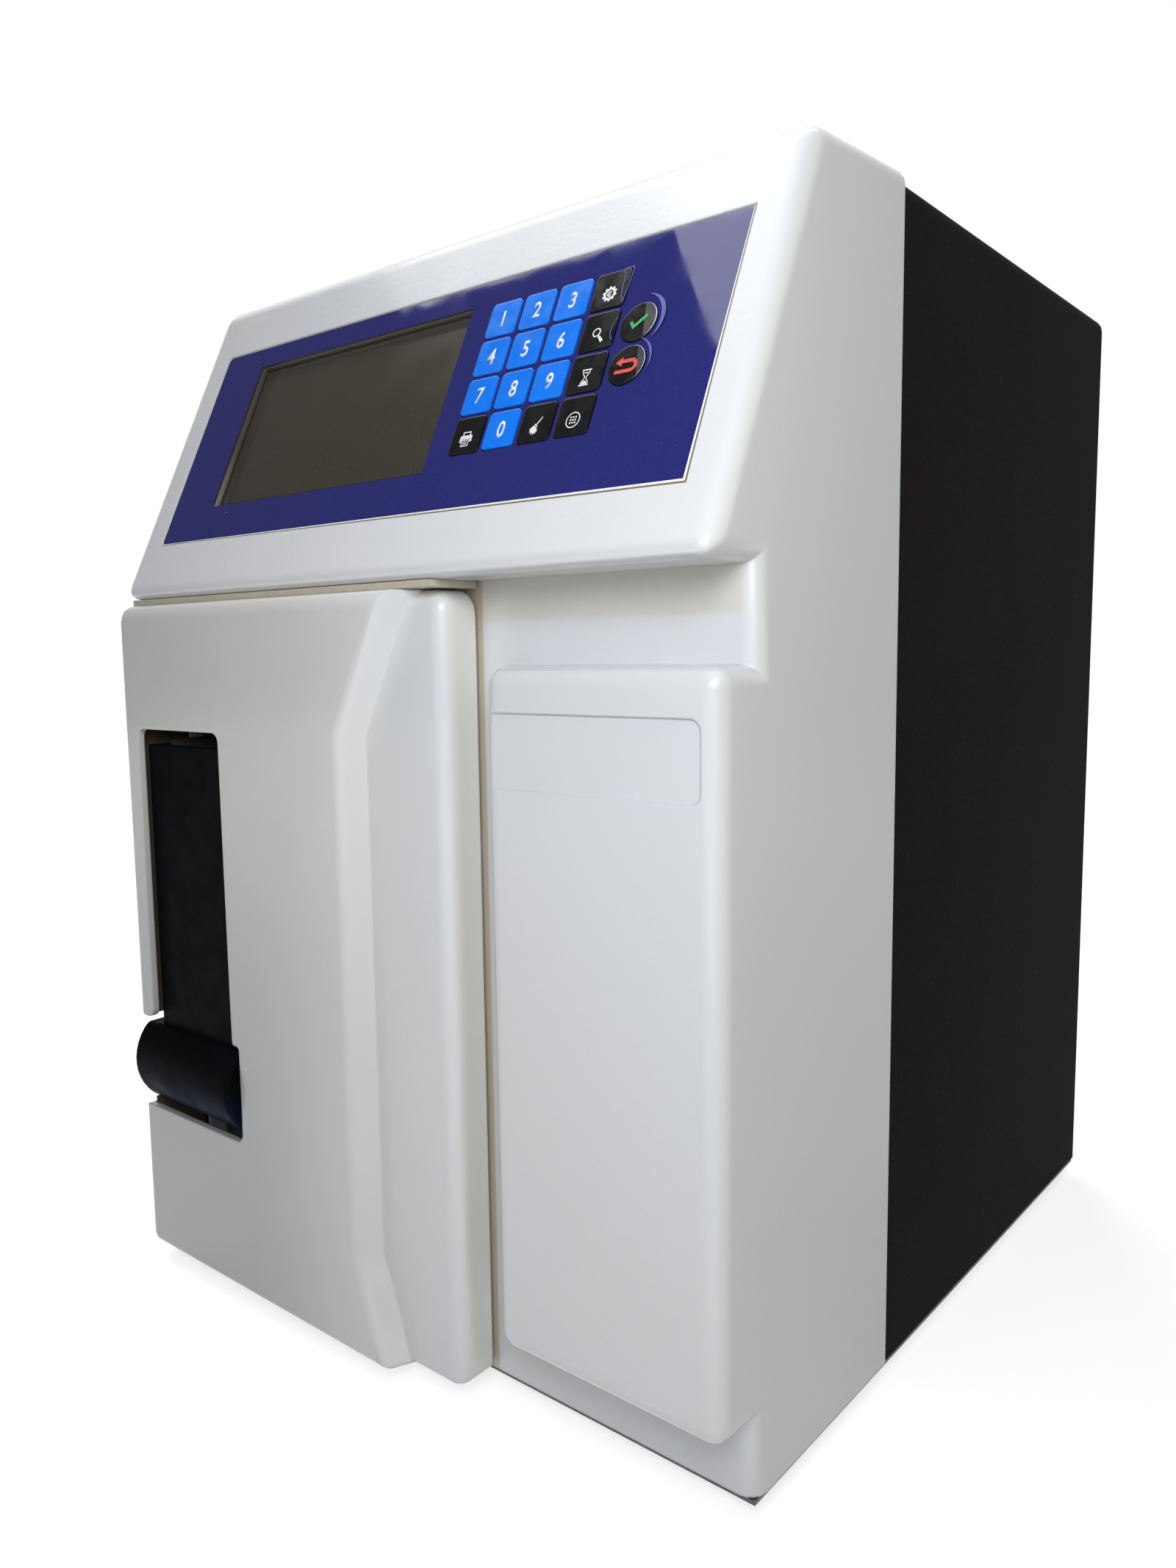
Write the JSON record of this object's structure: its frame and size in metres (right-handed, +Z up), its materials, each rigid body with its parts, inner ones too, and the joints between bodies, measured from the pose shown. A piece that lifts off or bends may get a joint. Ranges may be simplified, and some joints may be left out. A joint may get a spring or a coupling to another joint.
{
  "type": "electrolyte analyzer",
  "caption": "Bench ion selective electrolyte analyzer with leaning keypad and screen face, hinged sampler door with lift-up lever, raised side panel and dark rear housing.",
  "frame": {"origin": "centre of the bounding box at the level that the feet stand on", "axes": "+Z up, -Y to the front with the door and keypad, +X to the right side as seen from the front"},
  "size_m": [0.303, 0.3499, 0.4317],
  "materials": {
    "ivory_plastic": "gloss ivory white moulding",
    "black_enclosure": "fine textured matte black",
    "dark_steel": "dark coated steel",
    "rubber": "matte black",
    "overlay_blue": "gloss printed film",
    "screen_grey": "unlit screen",
    "board_green": "coated circuit board",
    "key_blue": "gloss printed key",
    "key_black": "gloss printed key",
    "steel": "bright steel",
    "lever_black": "gloss black",
    "plate_brown": "dull brown grey",
    "white_plastic": "satin white",
    "clear_plastic": "clear acrylic",
    "black_plastic": "satin black",
    "hose_rubber": "soft milky hose",
    "case_aluminium": "plain sheet",
    "paper": "matte white paper"
  },
  "bodies": {
    "cabinet": {"front_fascia": "ivory_plastic", "rear_housing": "black_enclosure", "back_panel": "black_enclosure", "base_plate": "dark_steel", "foot_front_left": "rubber", "foot_front_right": "rubber", "foot_back_left": "rubber", "foot_back_right": "rubber", "control_overlay": "overlay_blue", "lcd_screen": "screen_grey", "keypad_board": "board_green", "door_hinge_pin_upper": "steel", "door_hinge_pin_lower": "steel", "door_magnet": "dark_steel", "sampler_pivot_pin": "steel", "sampler_bracket": "dark_steel", "instrument_plate": "plate_brown", "reagent_pack": "white_plastic", "electrode_carrier": "clear_plastic", "electrode_1": "clear_plastic", "electrode_2": "clear_plastic", "electrode_3": "clear_plastic", "reference_electrode": "clear_plastic", "pump_base": "black_plastic", "pump_hose": "hose_rubber", "main_board": "board_green", "power_supply": "case_aluminium", "power_inlet": "black_plastic", "switch_frame": "black_plastic", "serial_port": "steel", "printer_tray": "black_plastic"},
    "door_body": {"door": "ivory_plastic"},
    "sampler": {"sampler_lever": "lever_black", "sample_probe": "steel"},
    "rotor": {"pump_rotor": "white_plastic"},
    "roller_1": {"pump_roller_1": "steel"},
    "roller_2": {"pump_roller_2": "steel"},
    "roller_3": {"pump_roller_3": "steel"},
    "rocker": {"power_switch": "black_plastic"},
    "lid": {"printer_lid": "black_plastic"},
    "roll": {"paper_roll": "paper"},
    "button_0": {"key_0": "key_blue"},
    "button_1": {"key_1": "key_blue"},
    "button_2": {"key_2": "key_blue"},
    "button_3": {"key_3": "key_blue"},
    "button_4": {"key_4": "key_blue"},
    "button_5": {"key_5": "key_blue"},
    "button_6": {"key_6": "key_blue"},
    "button_7": {"key_7": "key_blue"},
    "button_8": {"key_8": "key_blue"},
    "button_9": {"key_9": "key_blue"},
    "button_calibrate": {"key_calibrate": "key_black"},
    "button_analyze": {"key_analyze": "key_black"},
    "button_standby": {"key_standby": "key_black"},
    "button_print": {"key_print": "key_black"},
    "button_clean": {"key_clean": "key_black"},
    "button_menu": {"key_menu": "key_black"},
    "button_confirm": {"key_confirm": "key_black"},
    "button_return": {"key_return": "key_black"}
  },
  "joints": [
    {"name": "door_hinge", "type": "hinge", "parent": "cabinet", "child": "door_body", "pos_m": [-0.1465, -0.1497, 0.15], "axis": [0, 0, -1], "range_deg": [0, 105]},
    {"name": "sampler_lift", "type": "hinge", "parent": "cabinet", "child": "sampler", "pos_m": [-0.11425, -0.1517, 0.229], "axis": [-1, 0, 0], "range_deg": [0, 45]},
    {"name": "pump_spin", "type": "hinge", "parent": "cabinet", "child": "rotor", "pos_m": [0.0021, -0.1065, 0.203], "axis": [0, 1, 0], "continuous": true},
    {"name": "roller_spin_1", "type": "hinge", "parent": "rotor", "child": "roller_1", "pos_m": [0.0021, -0.1136, 0.2153], "axis": [0, 1, 0], "continuous": true},
    {"name": "roller_spin_2", "type": "hinge", "parent": "rotor", "child": "roller_2", "pos_m": [-0.00855, -0.1136, 0.19685], "axis": [0, 1, 0], "continuous": true},
    {"name": "roller_spin_3", "type": "hinge", "parent": "rotor", "child": "roller_3", "pos_m": [0.01275, -0.1136, 0.19685], "axis": [0, 1, 0], "continuous": true},
    {"name": "power_rock", "type": "hinge", "parent": "cabinet", "child": "rocker", "pos_m": [0.085, 0.1618, 0.112], "axis": [1, 0, 0], "range_deg": [0, 18]},
    {"name": "lid_hinge", "type": "hinge", "parent": "cabinet", "child": "lid", "pos_m": [0, 0.0627, 0.4279], "axis": [-1, 0, 0], "range_deg": [0, 100]},
    {"name": "roll_spin", "type": "hinge", "parent": "cabinet", "child": "roll", "pos_m": [0, 0.0263, 0.3956], "axis": [1, 0, 0], "continuous": true},
    {"name": "press_0", "type": "slide", "parent": "cabinet", "child": "button_0", "axis": [0, 0.91, -0.4147], "range_m": [0, 0.0005], "stiffness_N_per_m": 450, "springref_m": -0.0005},
    {"name": "press_1", "type": "slide", "parent": "cabinet", "child": "button_1", "axis": [0, 0.91, -0.4147], "range_m": [0, 0.0005], "stiffness_N_per_m": 450, "springref_m": -0.0005},
    {"name": "press_2", "type": "slide", "parent": "cabinet", "child": "button_2", "axis": [0, 0.91, -0.4147], "range_m": [0, 0.0005], "stiffness_N_per_m": 450, "springref_m": -0.0005},
    {"name": "press_3", "type": "slide", "parent": "cabinet", "child": "button_3", "axis": [0, 0.91, -0.4147], "range_m": [0, 0.0005], "stiffness_N_per_m": 450, "springref_m": -0.0005},
    {"name": "press_4", "type": "slide", "parent": "cabinet", "child": "button_4", "axis": [0, 0.91, -0.4147], "range_m": [0, 0.0005], "stiffness_N_per_m": 450, "springref_m": -0.0005},
    {"name": "press_5", "type": "slide", "parent": "cabinet", "child": "button_5", "axis": [0, 0.91, -0.4147], "range_m": [0, 0.0005], "stiffness_N_per_m": 450, "springref_m": -0.0005},
    {"name": "press_6", "type": "slide", "parent": "cabinet", "child": "button_6", "axis": [0, 0.91, -0.4147], "range_m": [0, 0.0005], "stiffness_N_per_m": 450, "springref_m": -0.0005},
    {"name": "press_7", "type": "slide", "parent": "cabinet", "child": "button_7", "axis": [0, 0.91, -0.4147], "range_m": [0, 0.0005], "stiffness_N_per_m": 450, "springref_m": -0.0005},
    {"name": "press_8", "type": "slide", "parent": "cabinet", "child": "button_8", "axis": [0, 0.91, -0.4147], "range_m": [0, 0.0005], "stiffness_N_per_m": 450, "springref_m": -0.0005},
    {"name": "press_9", "type": "slide", "parent": "cabinet", "child": "button_9", "axis": [0, 0.91, -0.4147], "range_m": [0, 0.0005], "stiffness_N_per_m": 450, "springref_m": -0.0005},
    {"name": "press_calibrate", "type": "slide", "parent": "cabinet", "child": "button_calibrate", "axis": [0, 0.91, -0.4147], "range_m": [0, 0.0005], "stiffness_N_per_m": 450, "springref_m": -0.0005},
    {"name": "press_analyze", "type": "slide", "parent": "cabinet", "child": "button_analyze", "axis": [0, 0.91, -0.4147], "range_m": [0, 0.0005], "stiffness_N_per_m": 450, "springref_m": -0.0005},
    {"name": "press_standby", "type": "slide", "parent": "cabinet", "child": "button_standby", "axis": [0, 0.91, -0.4147], "range_m": [0, 0.0005], "stiffness_N_per_m": 450, "springref_m": -0.0005},
    {"name": "press_print", "type": "slide", "parent": "cabinet", "child": "button_print", "axis": [0, 0.91, -0.4147], "range_m": [0, 0.0005], "stiffness_N_per_m": 450, "springref_m": -0.0005},
    {"name": "press_clean", "type": "slide", "parent": "cabinet", "child": "button_clean", "axis": [0, 0.91, -0.4147], "range_m": [0, 0.0005], "stiffness_N_per_m": 450, "springref_m": -0.0005},
    {"name": "press_menu", "type": "slide", "parent": "cabinet", "child": "button_menu", "axis": [0, 0.91, -0.4147], "range_m": [0, 0.0005], "stiffness_N_per_m": 450, "springref_m": -0.0005},
    {"name": "press_confirm", "type": "slide", "parent": "cabinet", "child": "button_confirm", "axis": [0, 0.91, -0.4147], "range_m": [0, 0.0005], "stiffness_N_per_m": 450, "springref_m": -0.0005},
    {"name": "press_return", "type": "slide", "parent": "cabinet", "child": "button_return", "axis": [0, 0.91, -0.4147], "range_m": [0, 0.0005], "stiffness_N_per_m": 450, "springref_m": -0.0005}
  ],
  "couplings": [
    {"joint": "roller_spin_1", "follows": "pump_spin", "ratio": -4.075},
    {"joint": "roller_spin_2", "follows": "pump_spin", "ratio": -4.075},
    {"joint": "roller_spin_3", "follows": "pump_spin", "ratio": -4.075}
  ]
}
